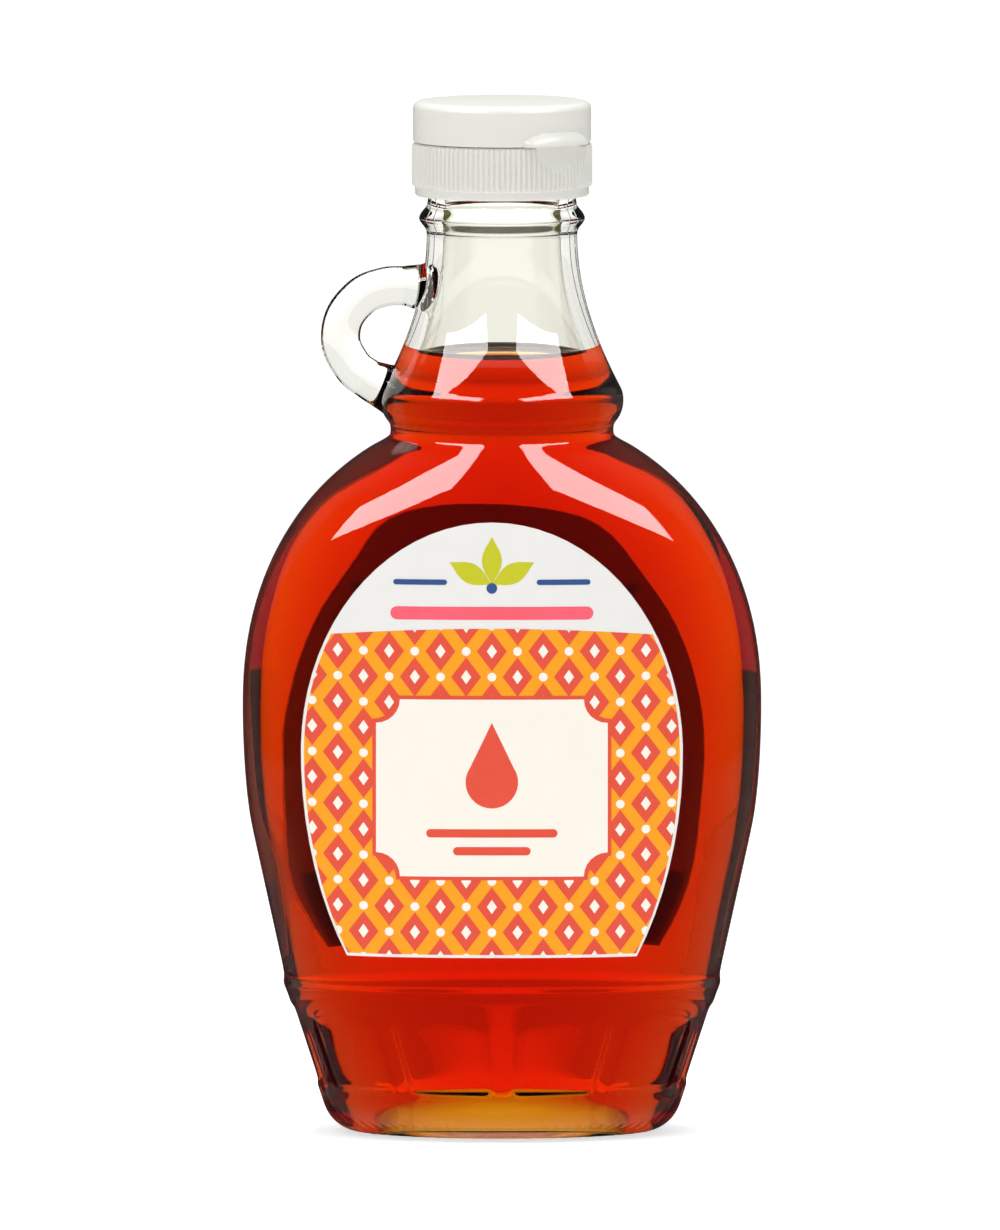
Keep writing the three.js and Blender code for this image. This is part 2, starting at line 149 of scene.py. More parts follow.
view_width = PHOTO_WIDTH / PIXELS_PER_MM * MM
aim = np.array([(PHOTO_WIDTH / 2 - AXIS_COLUMN) / PIXELS_PER_MM, 0.0,
                (FLOOR_ROW - PHOTO_HEIGHT / 2) / PIXELS_PER_MM / math.cos(CAMERA_TILT)]) * MM
stand = aim + CAMERA_DISTANCE * np.array([0, -math.cos(CAMERA_TILT), math.sin(CAMERA_TILT)])
bpy.ops.object.camera_add(location=stand, rotation=(math.pi / 2 - CAMERA_TILT, 0, 0))
camera = bpy.context.object
camera.data.sensor_fit = "HORIZONTAL"
camera.data.sensor_width = SENSOR_WIDTH
camera.data.lens = SENSOR_WIDTH * CAMERA_DISTANCE / view_width
bpy.context.scene.camera = camera
print("lens", round(camera.data.lens), "mm")

# %% [markdown]
# ## Floor and light
# Clear glass shows what stands around it. A white floor runs far behind the bottle, so the light that comes
# through the syrup is white. Dark olive flags to the left and right darken what the glass bends in from
# there, and that draws its outline. Two soft boxes high in front lay the pale streaks on shoulder and neck.
# The flags are seen only through the glass and the soft boxes only as gloss, so they never stand in the way.
# Two lamps light the paper and the plastic: a weak one in front and one close above the cap.

# %% Floor
FLOOR_RADIUS = 14.0
FLOOR_DROP = 0.1 * MM
FLOOR_GLOW = 0.6
PAPER_TOOTH = 2.0 * MM

paper_sweep, tree, output = new_material("matt_white_paper_sweep")
place = add_node(tree, "TexCoord")
tooth = add_node(tree, "TexNoise", {"Vector": place.outputs["Object"], "Scale": 1 / PAPER_TOOTH})
tone = add_node(tree, "ValToRGB", {"Fac": tooth.outputs["Fac"]})
tone.color_ramp.elements[0].color = linear("#EFEFEF")
tone.color_ramp.elements[1].color = linear("#F6F6F6")
surface = add_node(tree, "BsdfPrincipled", {
    "Base Color": tone.outputs["Color"], "Roughness": 1.0, "Specular IOR Level": 0.0,
    "Emission Color": linear("#FFFFFF"), "Emission Strength": FLOOR_GLOW})
tree.links.new(surface.outputs[0], output.inputs["Surface"])

bpy.ops.object.select_all(action="DESELECT")
bpy.ops.mesh.primitive_circle_add(vertices=96, radius=FLOOR_RADIUS, fill_type="NGON",
                                  location=(0, 0, -FLOOR_DROP))
floor = bpy.context.object
floor.name = "floor"
floor.data.materials.append(paper_sweep)
floor.visible_glossy = False

# %% Room light: on paper and plastic, as a mirror image, and as seen through the glass
ROOM_LIGHT, ROOM_IN_GLOSS, ROOM_THROUGH_GLASS = 0.52, 0.04, 0.95

world = bpy.data.worlds.new("studio")
bpy.context.scene.world = world
world.use_nodes = True
tree = world.node_tree
tree.nodes.clear()
ray = add_node(tree, "LightPath")
mirrored_ray = add_node(tree, "Math", {0: ray.outputs["Is Glossy Ray"], 1: ray.outputs["Is Reflection Ray"]},
                        operation="MULTIPLY")
level = add_node(tree, "Mix", {"Factor": ray.outputs["Is Transmission Ray"], "A": ROOM_LIGHT,
                               "B": ROOM_THROUGH_GLASS})
level = add_node(tree, "Mix", {"Factor": mirrored_ray.outputs[0], "A": level.outputs[0], "B": ROOM_IN_GLOSS})
level = add_node(tree, "Mix", {"Factor": ray.outputs["Is Camera Ray"], "A": level.outputs[0], "B": 1.0})
sky = add_node(tree, "Background", {"Color": linear("#FFFFFF"), "Strength": level.outputs[0]})
tree.links.new(sky.outputs[0], add_node(tree, "OutputWorld").inputs["Surface"])
bpy.context.scene.view_settings.view_transform = "Standard"

# %% Flags and soft boxes
def card(name, size, distance, azimuth, elevation, hex_code, strength, seen_by):
    """A glowing card that faces the bottle; azimuth runs from the front (-Y) towards +X."""
    bpy.ops.object.select_all(action="DESELECT")
    turn, rise = math.radians(azimuth), math.radians(elevation)
    bpy.ops.mesh.primitive_plane_add(
        size=1, rotation=(math.pi / 2 - rise, 0, turn),
        location=(distance * math.cos(rise) * math.sin(turn), -distance * math.cos(rise) * math.cos(turn),
                  CARD_AIM + distance * math.sin(rise)))
    made = bpy.context.object
    made.name = name
    made.scale = (*size, 1)
    glow, tree, output = new_material(name + "_glow")
    light = add_node(tree, "Emission", {"Color": linear(hex_code), "Strength": strength})
    tree.links.new(light.outputs[0], output.inputs["Surface"])
    made.data.materials.append(glow)
    for kind in ("camera", "diffuse", "glossy", "transmission", "volume_scatter", "shadow"):
        setattr(made, "visible_" + kind, kind == seen_by)


CARD_AIM = 0.1
FLAG_SIZE, FLAG_DISTANCE, FLAG_AZIMUTH, FLAG_GLOW = (0.56, 0.8), 0.45, 90, 0.2
BOX_SIZE, BOX_DISTANCE, BOX_AZIMUTH, BOX_ELEVATION, BOX_GLOW = (0.9, 0.24), 1.0, 50, 37, 11.0
for side, name in ((-1, "left"), (1, "right")):
    card("flag_" + name, FLAG_SIZE, FLAG_DISTANCE, FLAG_AZIMUTH * side, 0, "#C9BE7C", FLAG_GLOW,
         "transmission")
    card("soft_box_" + name, BOX_SIZE, BOX_DISTANCE, BOX_AZIMUTH * side, BOX_ELEVATION, "#FFFFFF", BOX_GLOW,
         "glossy")

# %% Lamps
KEY_PLACE, KEY_PITCH, KEY_TURN, KEY_SIZE, KEY_WATTS = (-0.7, -1.1, 1.2), 47, -32, 0.8, 2.4
OVERHEAD_PLACE, OVERHEAD_SIZE, OVERHEAD_WATTS = (0, 0, 0.6), 0.35, 2.5


def lamp(place, pitch, turn, size, watts):
    """A square lamp that lights paper and plastic and is itself never seen, not even in the glass."""
    bpy.ops.object.light_add(type="AREA", location=place)
    made = bpy.context.object
    made.rotation_euler = (math.radians(pitch), 0, math.radians(turn))
    made.data.shape, made.data.size, made.data.energy = "SQUARE", size, watts
    made.visible_camera = made.visible_glossy = made.visible_transmission = False


lamp(KEY_PLACE, KEY_PITCH, KEY_TURN, KEY_SIZE, KEY_WATTS)
lamp(OVERHEAD_PLACE, 0, 0, OVERHEAD_SIZE, OVERHEAD_WATTS)

# %% [markdown]
# ## The shape of the glass
# A bottle like this is blown in a mould of two halves. Its outline is drawn twice: once for the half width
# and once for the half depth. Turning an outline about the axis gives a round bottle, and pressing each ring
# to its own width and depth makes it oval. A ring of squareness 2 is an ellipse, and more than 2 makes the
# front flatter and the sides rounder. The outline runs from the middle of the underside up the outside, over
# the mouth and down the inside, so the wall has its true thickness.

# %% Curves of an outline
def along(start, pull, end, steps):
    """Points of a curve that leaves start, is pulled towards one point and ends at end, without start."""
    shares = [(i + 1) / steps for i in range(steps)]
    return [tuple((1 - t) ** 2 * a + 2 * t * (1 - t) * b + t * t * c
                  for a, b, c in zip(start, pull, end)) for t in shares]


def straight(start, end, heights):
    """Points at these heights on the line through start and end."""
    slope = (end[0] - start[0]) / (end[1] - start[1])
    return [(start[0] + slope * (z - start[1]), z) for z in heights]


def smooth_step(value, low, high):
    t = np.clip((value - low) / (high - low), 0, 1)
    return t * t * (3 - 2 * t)


def squareness(z):
    """Round at the foot and the neck, squarer along the body."""
    swell = np.minimum(smooth_step(z, 0, LEDGE_Z), 1 - smooth_step(z, FRONT_FLAT_TOP_Z, WAIST_BOTTOM_Z))
    return 2 + (BODY_SQUARENESS - 2) * swell


# %% Sizes of the glass, in millimetres (pairs are half width and half depth)
FOOT, BEARING_WIDTH, PUSH_UP, HEEL_RADIUS = (23.8, 14.0), 4.5, 1.4, 6.5
LEDGE, LEDGE_Z = (36.4, 21.5), 24.2
BEAD_RISE, BEAD_TOP_Z, BEAD_ROLL, BEAD_ROLL_Z, BEAD_ROLL_SPAN = 0.4, 27.4, 0.3, 25.2, 0.75
TAPER_TOP, TAPER_TOP_Z = (42.3, 22.25), 52.5
BODY, WIDEST_Z, BODY_PULL_Z, BODY_SQUARENESS = (43.65, 22.4), 73.0, 60.7, 2.4
SHOULDER_RISE, SHOULDER_POWER, SHOULDER_TOP_Z = 48.4, 2.1, 115.8
FRONT_FLAT_TOP_Z, FRONT_POWER = 96.0, 2.2
WAIST_RADIUS, WAIST_BOTTOM_Z, WAIST_TOP_Z = 18.75, 117.6, 119.4
COLLAR_RADIUS, COLLAR_Z = 20.45, 123.4
FLARE_RADIUS, FLARE_Z, FLARE_BEND_Z = 19.75, 125.9, 139.4
NECK_RADIUS, NECK_Z = 12.65, 151.0
FINISH_RADIUS, MOUTH_RADIUS, MOUTH_Z = 12.4, 9.5, 164.4
PANEL_BOTTOM_Z, PANEL_TOP_Z = 8.2, 20.0
FLOOR_Z, FLOOR_DOME, BODY_WALL, NECK_WALL, COLLAR_WALL = 3.0, 4.6, 2.9, 2.85, 3.4
FLOOR_SHARES = (0.25, 0.5, 0.7, 0.85, 0.94, 1.0)
INNER_FOOT_INSET, INNER_HEEL_RADIUS, INNER_SHOULDER_TOP_Z = 1.4, 5.5, 114.6

# Heights of the rings that the base, the bead and the taper need, and the outlines of neck bead and lip
BASE_RINGS_Z = (7.2, PANEL_BOTTOM_Z, 10.6, 13, 15.4, 17.8, PANEL_TOP_Z, 22.7, 23.5)
BEAD_RINGS_Z = (24.1, 24.7, 25.2, 25.8, 26.4, BEAD_TOP_Z)
TAPER_RINGS_Z = (30, 34, 39, 44, 48.5, TAPER_TOP_Z)
NECK_BEAD = [(12.65, 151.8), (12.95, 152.5), (13.6, 153.2), (13.95, 153.8), (13.95, 154.3), (13.5, 155.1),
             (12.8, 155.8)]
FINISH_RINGS_Z = (156.5, 160.0, 163.6)
MOUTH_LIP = [(12.1, 164.2), (11.4, MOUTH_Z), (10.2, MOUTH_Z), (9.7, 164.1), (MOUTH_RADIUS, 163.4)]


# %% Outside of the glass
def shoulder(k, z, inset=0.0):
    """Half width or half depth of the shoulder at a height."""
    if k == 1:
        share = max(0.0, (z - FRONT_FLAT_TOP_Z) / (WAIST_BOTTOM_Z - FRONT_FLAT_TOP_Z))
        return BODY[1] - inset - (BODY[1] - WAIST_RADIUS) * share ** FRONT_POWER
    share = (z - WIDEST_Z) / (SHOULDER_RISE - inset)
    return (BODY[0] - inset) * (1 - share ** SHOULDER_POWER) ** (1 / SHOULDER_POWER)


def shoulder_points(k, top_z, inset, steps):
    climb = [math.sin((i + 1) / steps * math.pi / 2) for i in range(steps)]
    heights = [WIDEST_Z + (top_z - WIDEST_Z) * share for share in climb]
    return [(shoulder(k, z, inset), z) for z in heights]


def heel(centre, radius, ledge, steps):
    """The round heel, from straight down to where it runs into the line up to the ledge."""
    across, up = ledge[0] - centre[0], ledge[1] - centre[1]
    lean = math.atan2(across, up) - math.asin(radius / math.hypot(across, up))
    turns = [-math.pi / 2 + (math.pi / 2 - lean) * (i + 1) / steps for i in range(steps)]
    return [(centre[0] + radius * math.cos(t), centre[1] + radius * math.sin(t)) for t in turns]


def bead(k, z):
    """Radius of the soft bead above the base."""
    rise = BEAD_RISE * (z - LEDGE_Z) / (BEAD_TOP_Z - LEDGE_Z) if z > LEDGE_Z else 0.0
    return LEDGE[k] + rise + BEAD_ROLL * math.exp(-(((z - BEAD_ROLL_Z) / BEAD_ROLL_SPAN) ** 2))


def glass_outside(k):
    inner_foot = FOOT[k] - BEARING_WIDTH
    points = [(inner_foot * share, PUSH_UP * (1 - share ** 2)) for share in (0, 0.3, 0.6, 0.85)]
    points += [(inner_foot + step, 0.0) for step in (0.0, 1.5, 3.0, BEARING_WIDTH)]
    points += heel((FOOT[k], HEEL_RADIUS), HEEL_RADIUS, (LEDGE[k], LEDGE_Z), 7)
    points += straight(points[-1], (LEDGE[k], LEDGE_Z), BASE_RINGS_Z)
    points += [(bead(k, z), z) for z in BEAD_RINGS_Z]
    points += straight(points[-1], (TAPER_TOP[k], TAPER_TOP_Z), TAPER_RINGS_Z)
    points += along(points[-1], (BODY[k], BODY_PULL_Z), (BODY[k], WIDEST_Z), 6)
    points += shoulder_points(k, SHOULDER_TOP_Z, 0.0, 16)
    points += along(points[-1], (WAIST_RADIUS + 0.3, 117.0), (WAIST_RADIUS, WAIST_BOTTOM_Z), 3)
    points += [(WAIST_RADIUS, 118.4), (WAIST_RADIUS, WAIST_TOP_Z)]
    points += along(points[-1], (COLLAR_RADIUS, 121.0), (COLLAR_RADIUS, COLLAR_Z), 5)
    points += along(points[-1], (COLLAR_RADIUS, 124.9), (FLARE_RADIUS, FLARE_Z), 3)
    points += along(points[-1], (NECK_RADIUS, FLARE_BEND_Z), (NECK_RADIUS, NECK_Z), 22)
    return points + NECK_BEAD + [(FINISH_RADIUS, z) for z in FINISH_RINGS_Z] + MOUTH_LIP


# %% Inside of the glass
def glass_inside(k, reach):
    """From the middle of the domed floor up to the mouth; reach moves the wall outwards, into the glass."""
    wall = BODY_WALL - reach
    foot, ledge = FOOT[k] - INNER_FOOT_INSET, (LEDGE[k] - wall, LEDGE_Z)
    floor_z = FLOOR_Z - reach
    rising = [(foot * share, floor_z + FLOOR_DOME * (1 - share ** 3)) for share in FLOOR_SHARES]
    rising += heel((foot, floor_z + INNER_HEEL_RADIUS), INNER_HEEL_RADIUS, ledge, 6)
    rising += straight(rising[-1], ledge, (12.5, 16.5, 20.5, LEDGE_Z))
    rising += straight(ledge, (TAPER_TOP[k] - wall, TAPER_TOP_Z), (30, 37, 45, TAPER_TOP_Z))
    rising += along(rising[-1], (BODY[k] - wall, BODY_PULL_Z), (BODY[k] - wall, WIDEST_Z), 5)
    rising += shoulder_points(k, INNER_SHOULDER_TOP_Z, wall, 12)
    waist, collar = WAIST_RADIUS - NECK_WALL + reach, COLLAR_RADIUS - COLLAR_WALL + reach
    rising += along(rising[-1], (waist, 117.0), (waist, WAIST_TOP_Z), 4)
    rising += along(rising[-1], (collar, 121.2), (collar, COLLAR_Z), 3)
    flare, neck = FLARE_RADIUS - NECK_WALL + reach, NECK_RADIUS - NECK_WALL + reach
    rising += along(rising[-1], (collar, 124.8), (flare, FLARE_Z), 2)
    rising += along(rising[-1], (neck, FLARE_BEND_Z), (neck, NECK_Z), 14)
    rising += [(9.65 + reach, 155.0), (MOUTH_RADIUS + reach, 160.0)]
    return [(0.0, floor_z + FLOOR_DOME)] + rising


# %% Rings of even columns
COLUMNS = 120
BASE_MIDDLE_Z = 14.0


def base_columns():
    """Angles that cut the oval of the base into columns of equal width, counted from the front."""
    fine = np.linspace(-math.pi / 2, 1.5 * math.pi, 7201)
    width, depth = (np.interp(BASE_MIDDLE_Z, *zip(*[(z, r) for r, z in glass_outside(k)[12:20]]))
                    for k in (0, 1))
    steps = np.hypot(np.diff(width * np.cos(fine)), np.diff(depth * np.sin(fine)))
    length = np.concatenate([[0], np.cumsum(steps)])
    return np.interp(np.arange(COLUMNS) / COLUMNS * length[-1], length, fine)


def turned(name, outline, columns):
    """Pulls a ring of points to an outline, opens it on the axis and turns it about Z, as on a lathe."""
    bpy.ops.object.select_all(action="DESELECT")
    bpy.ops.mesh.primitive_circle_add(vertices=len(outline), fill_type="NOTHING")
    piece = bpy.context.object
    piece.name = piece.data.name = name
    move_points(piece, [(radius, 0, z) for radius, z in outline])
    last = len(outline) - 1
    pick(piece, "EDGE", lambda edge, middle: set(edge.vertices) == {0, last})
    bpy.ops.mesh.delete(type="EDGE_FACE")
    bpy.ops.object.mode_set(mode="OBJECT")
    finish_with(piece, "SCREW", steps=columns, render_steps=columns, use_merge_vertices=False)
    return piece


def pressed(piece, widths, depths, angles):
    """Presses each ring of a turned piece to its own half width and half depth."""
    (wide, wide_z), (deep, deep_z) = np.array(widths).T, np.array(depths).T
    power = 2 / squareness((wide_z + deep_z) / 2)
    cos, sin = np.cos(angles)[:, None], np.sin(angles)[:, None]
    x = wide * np.sign(cos) * np.abs(cos) ** power
    y = deep * np.sign(sin) * np.abs(sin) ** power
    z = wide_z + (deep_z - wide_z) * sin ** 2
    places = np.stack([x, y, z + 0 * x], axis=2)
    move_points(piece, places.reshape(-1, 3))
    return places


def closed(piece):
    """Merges the points that meet on the axis and turns every face outwards."""
    edit_all(piece)
    bpy.ops.mesh.remove_doubles(threshold=0.002 * MM)
    bpy.ops.mesh.select_all(action="SELECT")
    bpy.ops.mesh.normals_make_consistent(inside=False)
    bpy.ops.object.mode_set(mode="OBJECT")


# %% Turn and press the glass
outline = [glass_outside(k) + glass_inside(k, 0.0)[::-1] for k in (0, 1)]
angles = base_columns()
glass = turned("glass_bottle", outline[0], COLUMNS)
rings = pressed(glass, *outline, angles)
print("glass:", len(outline[0]), "rings of", COLUMNS)

# %% [markdown]
# ## Panels, foot and handle
# Ten shallow arched panels run round the base, with a narrow pier between each two. Their place is already
# in the columns: twelve to a panel and its pier. The top row of each is lifted to an arch, and an inset with
# a little depth sinks it. The foot has fine notches that keep hot glass off the belt, and they are made by
# lifting every second column.

# %% Arches and notches
PANEL_COLUMNS, ARCH_RISE = 12, 1.8
NOTCH_DEPTH = 0.5
PANEL_EDGE, PANEL_DEPTH = 0.3, 0.4

heights = [z for _, z in outline[0]]
bottom_row, top_row = heights.index(PANEL_BOTTOM_Z), heights.index(PANEL_TOP_Z)
bearing_rows = [i for i, z in enumerate(heights[:12]) if z == 0.0]
for column in range(COLUMNS):
    across = (column % PANEL_COLUMNS - PANEL_COLUMNS / 2) / (PANEL_COLUMNS / 2 - 1)
    rise = ARCH_RISE * max(0.0, 1 - across ** 2)
    for row, share in ((top_row, 1.0), (top_row - 1, 0.6), (top_row - 2, 0.3)):
        climb = rings[column, row + 1] - rings[column, row]
        rings[column, row] += climb * rise * share / climb[2]
    rings[column, bearing_rows, 2] += NOTCH_DEPTH * (column % 2)
move_points(glass, rings.reshape(-1, 3))

# %% Sink the panels
ring_count = len(heights)
edit_all(glass)
bpy.ops.mesh.normals_make_consistent(inside=False)
bpy.ops.object.mode_set(mode="OBJECT")


def in_panel(face, middle):
    rows = [i % ring_count for i in face.vertices]
    columns = sorted({i // ring_count for i in face.vertices})
    first = columns[-1] if columns[-1] - columns[0] > 1 else columns[0]
    between_piers = 1 <= first % PANEL_COLUMNS <= PANEL_COLUMNS - 2
    return bottom_row <= min(rows) and max(rows) <= top_row and between_piers


pick(glass, "FACE", in_panel)
bpy.ops.mesh.inset(thickness=PANEL_EDGE * MM, depth=-PANEL_DEPTH * MM)
bpy.ops.object.mode_set(mode="OBJECT")

closed(glass)
finish_with(glass, "SUBSURF", levels=1, render_levels=1)
print("glass:", len(glass.data.polygons), "faces")

# %% [markdown]
# The ring handle is one piece with the neck. It is a tube along a curve that swells where it meets the glass,
# as a hot strand does when it is pressed on. Both its ends stop inside the wall, and a Boolean union makes
# one piece of tube and bottle, so that no skin of glass is left inside the join.

# %% Ring handle
HANDLE_PATH = ((-12.0, 142.2, 1.5), (-13.9, 142.4, 1.16), (-16.6, 142.6, 1.0), (-19.8, 142.4, 1.0),
               (-24.2, 140.3, 1.0), (-27.1, 134.6, 1.0), (-25.2, 129.2, 1.0), (-22.6, 127.0, 1.02),
               (-20.4, 125.9, 1.14), (-18.4, 125.1, 1.3))
HANDLE_RADIUS, HANDLE_FLATNESS = 3.3, 0.955

bpy.ops.object.select_all(action="DESELECT")
bpy.ops.curve.primitive_bezier_curve_add()
handle = bpy.context.object
bpy.ops.object.mode_set(mode="EDIT")
bpy.ops.curve.select_all(action="SELECT")
bpy.ops.curve.subdivide(number_cuts=len(HANDLE_PATH) - 2)
bpy.ops.object.mode_set(mode="OBJECT")
for knot, (x, z, swell) in zip(handle.data.splines[0].bezier_points, HANDLE_PATH):
    knot.co = (x * MM, 0, z * MM)
    knot.radius = swell
    knot.handle_left_type = knot.handle_right_type = "AUTO"
handle.data.dimensions = "3D"
handle.data.resolution_u = 8
handle.data.bevel_depth, handle.data.bevel_resolution = HANDLE_RADIUS * MM, 14
handle.data.use_fill_caps = True
bpy.ops.object.convert(target="MESH")
handle = bpy.context.object
move_points(handle, points_of(handle) * (1, HANDLE_FLATNESS, 1))
closed(handle)
finish_with(glass, "BOOLEAN", operation="UNION", object=handle, solver="EXACT")
bpy.data.objects.remove(handle)
take(glass)
bpy.ops.object.shade_smooth_by_angle(angle=math.radians(45))
print("glass with its handle:", len(glass.data.polygons), "faces")

# %% [markdown]
# ## Clear glass
# Soda-lime glass bends light with an index of about 1.52 and is a little green-yellow where it is thick,
# because of traces of iron. A mould leaves it faintly wavy, and a thin seam runs down both narrow sides
# where the halves of the mould met. The tint is in the base colour, once for each face that light crosses.

# %% Glass material
GLASS_IOR = 1.52
MOULD_WAVE, MOULD_WAVE_HEIGHT = 14.0 * MM, 0.06 * MM
SEAM_HALF_WIDTH, SEAM_HEIGHT = 0.35 * MM, 0.12 * MM
WET_MARGIN = 0.8


def soda_lime_glass(name, tint_hex, mirror_hex):
    """Clear glass; mirror_hex is the strength of its mirror image, black where syrup wets the wall."""
    material, tree, output = new_material(name)
    place = add_node(tree, "TexCoord")
    wave = add_node(tree, "TexNoise", {"Vector": place.outputs["Object"], "Scale": 1 / MOULD_WAVE,
                                       "Detail": 1.0})
    wavy = add_node(tree, "Bump", {"Height": wave.outputs["Fac"], "Distance": MOULD_WAVE_HEIGHT})
    axes = add_node(tree, "SeparateXYZ", {"Vector": place.outputs["Object"]})
    off_seam = add_node(tree, "Math", {0: axes.outputs["Y"]}, operation="ABSOLUTE")
    seam = add_node(tree, "MapRange", {
        "Value": off_seam.outputs[0], "From Min": 0.0, "From Max": SEAM_HALF_WIDTH,
        "To Min": 1.0, "To Max": 0.0}, interpolation_type="SMOOTHSTEP")
    ridged = add_node(tree, "Bump", {"Height": seam.outputs[0], "Distance": SEAM_HEIGHT,
                                     "Normal": wavy.outputs["Normal"]})
    surface = add_node(tree, "BsdfPrincipled", {
        "Base Color": linear(tint_hex), "Roughness": 0.0, "IOR": GLASS_IOR, "Transmission Weight": 1.0,
        "Specular Tint": linear(mirror_hex), "Normal": ridged.outputs["Normal"]})
    tree.links.new(surface.outputs[0], output.inputs["Surface"])
    return material


# %% [markdown]
# Where the syrup wets the wall, glass and liquid bend light almost alike, so the wall has no mirror image
# there. The faces inside the bottle and below the level get a second glass without one.

# %% Glass on the bottle
SYRUP_LEVEL_Z = 130.1
glass.data.materials.append(soda_lime_glass("soda_lime_glass_blown", "#FAFAF3", "#FFFFFF"))
glass.data.materials.append(soda_lime_glass("soda_lime_glass_wetted", "#FFFFFF", "#000000"))
middles = np.empty(3 * len(glass.data.polygons))
glass.data.polygons.foreach_get("center", middles)
middles = middles.reshape(-1, 3) / MM
inner_z = [z for _, z in glass_inside(0, 0.0)][len(FLOOR_SHARES):-2]
inner_half = [[r for r, _ in glass_inside(k, 0.0)][len(FLOOR_SHARES):-2] for k in (0, 1)]
wide, deep = (np.interp(middles[:, 2], inner_z, inner_half[k]) + WET_MARGIN for k in (0, 1))
power = squareness(middles[:, 2])
inside = (np.abs(middles[:, 0]) / wide) ** power + (np.abs(middles[:, 1]) / deep) ** power < 1
wetted = inside & (middles[:, 2] < SYRUP_LEVEL_Z) & (middles[:, 2] > FLOOR_Z - WET_MARGIN)
glass.data.polygons.foreach_set("material_index", wetted.astype(np.int32))
print("wetted faces:", int(wetted.sum()), "of", len(wetted))
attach(glass, "root")
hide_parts("bottle")

# %% [markdown]
# ## The syrup
# The fill touches the glass, so no film of air may show between them. The inside of the bottle is turned
# once more and reaches a little way into the wall. At the level, the liquid climbs the glass in a small
# meniscus. Its colour is all in the volume: red passes, green is taken up over a few centimetres and blue
# over a few millimetres, so thin edges are gold and the middle is deep red.

# %% Shape of the syrup
SYRUP_REACH = 0.08
MENISCUS = ((0.0, 1.9), (0.5, 1.15), (1.2, 0.6), (2.2, 0.25), (4.0, 0.05), (7.0, 0.0), (11.0, 0.0))


def syrup_outline(k):
    climb_top = SYRUP_LEVEL_Z + MENISCUS[0][1]
    wall = [point for point in glass_inside(k, SYRUP_REACH) if point[1] < climb_top - 0.3]
    heights, radii = zip(*sorted((z, r) for r, z in glass_inside(k, SYRUP_REACH) if z > FLARE_Z))
    edge = float(np.interp(climb_top, heights, radii))
    surface = [(edge - step, SYRUP_LEVEL_Z + climb) for step, climb in MENISCUS]
    return wall + surface + [(0.0, SYRUP_LEVEL_Z)]


outline_syrup = [syrup_outline(k) for k in (0, 1)]
syrup = turned("maple_syrup", outline_syrup[0], COLUMNS)
pressed(syrup, *outline_syrup, angles)
closed(syrup)
finish_with(syrup, "SUBSURF", levels=1, render_levels=1)
take(syrup)
bpy.ops.object.shade_smooth()
print("syrup:", len(syrup.data.polygons), "faces")

# %% Syrup material
SYRUP_IOR = 1.47
SYRUP_TINT, SYRUP_TINT_PER_METRE = (0.976, 0.81, 0.03, 1.0), 700.0
SYRUP_SWIRL, SYRUP_SWIRL_HEIGHT = 30.0 * MM, 0.02 * MM

red_amber, tree, output = new_material("maple_syrup_clear_liquid")
place = add_node(tree, "TexCoord")
swirl = add_node(tree, "TexNoise", {"Vector": place.outputs["Object"], "Scale": 1 / SYRUP_SWIRL,
                                    "Detail": 1.0})
calm = add_node(tree, "Bump", {"Height": swirl.outputs["Fac"], "Distance": SYRUP_SWIRL_HEIGHT})
surface = add_node(tree, "BsdfPrincipled", {
    "Base Color": linear("#FFFFFF"), "Roughness": 0.0, "IOR": SYRUP_IOR, "Transmission Weight": 1.0,
    "Specular Tint": linear("#000000"), "Normal": calm.outputs["Normal"]})
tint = add_node(tree, "VolumeAbsorption", {"Color": SYRUP_TINT, "Density": SYRUP_TINT_PER_METRE})
tree.links.new(surface.outputs[0], output.inputs["Surface"])
tree.links.new(tint.outputs[0], output.inputs["Volume"])
syrup.data.materials.append(red_amber)
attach(syrup, "root")
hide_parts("syrup")

# %% [markdown]
# ## Paper labels
# Each label is a sheet with a round top, glued to the oval face. A sheet could be cut from a grid, but the
# outline would be stepped. So it is drawn flat as one face, given its thickness, sliced into narrow strips
# that can bend, and then laid on the glass. The print is made the same way: each ink is a film of flat
# shapes a few hundredths of a millimetre thick, laid on the paper one over the other, as a press does it.

# %% Drape flat shapes on the glass
SLICE = 2.6
body_rows = [i for i, z in enumerate(heights) if LEDGE_Z < z < WAIST_BOTTOM_Z and i < ring_count // 2]
body_z = [outline[0][i][1] for i in body_rows]
body_half = [[outline[k][i][0] for i in body_rows] for k in (0, 1)]


def front_of_glass(x, z):
    """Half depth of the glass at a place on its face."""
    width, depth = (np.interp(z, body_z, body_half[k]) for k in (0, 1))
    power = squareness(z)
    return depth * (1 - (np.abs(x) / width) ** power) ** (1 / power)


def flat_shapes(name, shapes, thickness):
    """Thin flat solids with these outlines, standing in the plane of the label, joined into one piece."""
    made = []
    for shape in shapes:
        bpy.ops.object.select_all(action="DESELECT")
        bpy.ops.mesh.primitive_circle_add(vertices=len(shape), fill_type="NGON")
        made.append(bpy.context.object)
        move_points(made[-1], [(x, 0, z) for x, z in shape])
    take(made[0])
    for other in made[1:]:
        other.select_set(True)
    if len(made) > 1:
        bpy.ops.object.join()
    piece = bpy.context.object
    piece.name = piece.data.name = name
    edit_all(piece)
    bpy.ops.mesh.extrude_region_move(TRANSFORM_OT_translate={"value": (0, -thickness * MM, 0)})
    bpy.ops.mesh.select_all(action="SELECT")
    bpy.ops.mesh.normals_make_consistent(inside=False)
    bpy.ops.object.mode_set(mode="OBJECT")
    return piece


